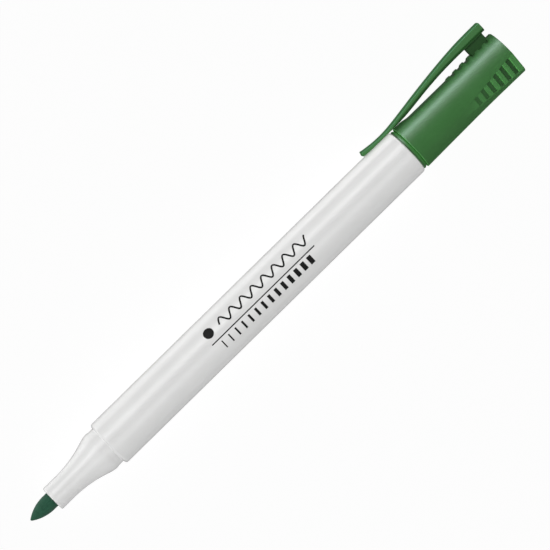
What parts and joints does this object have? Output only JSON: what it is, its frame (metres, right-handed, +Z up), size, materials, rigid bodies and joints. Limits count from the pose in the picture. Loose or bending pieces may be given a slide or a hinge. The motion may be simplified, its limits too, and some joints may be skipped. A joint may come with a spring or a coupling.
{
  "type": "whiteboard marker",
  "caption": "Slim whiteboard marker: white barrel, green bullet nib, ribbed green push-on cap posted on the rear end, sprung pocket clip.",
  "frame": {"origin": "on the pen axis, in the plane of the barrel's front shoulder, where the rim of the closed cap comes to rest", "axes": "+X along the pen axis from the nib to the cap's closed end, +Y from the axis to the pocket clip, +Z up, with the marker lying on its side"},
  "size_m": [0.1534, 0.016, 0.012],
  "materials": {
    "barrel_white": "white polypropylene, satin gloss",
    "cap_green": "green polypropylene, satin gloss",
    "nib_fibre": "green ink-soaked acrylic fibre",
    "reservoir_fibre": "green ink-soaked polyester fibre",
    "film_clear": "thin polypropylene film",
    "liner_natural": "natural polyethylene"
  },
  "bodies": {
    "barrel_body": {"barrel": "barrel_white", "nib": "nib_fibre", "ink_reservoir": "reservoir_fibre", "reservoir_film": "film_clear", "rear_plug": "cap_green"},
    "inner_cap_body": {"inner_cap": "liner_natural"},
    "cap_body": {"cap_shell": "cap_green"},
    "clip_body": {"clip": "cap_green"}
  },
  "joints": [
    {"name": "cap_pull", "type": "slide", "parent": "barrel_body", "child": "inner_cap_body", "axis": [1, 0, 0], "range_m": [0, 0.035]},
    {"name": "cap_turn", "type": "hinge", "parent": "inner_cap_body", "child": "cap_body", "pos_m": [0.1, 0, 0], "axis": [1, 0, 0], "continuous": true},
    {"name": "clip_flex", "type": "hinge", "parent": "cap_body", "child": "clip_body", "pos_m": [0.1219, 0.00992, 0], "axis": [0, 0, -1], "range_deg": [0, 5], "stiffness_Nm_per_rad": 1.7}
  ]
}
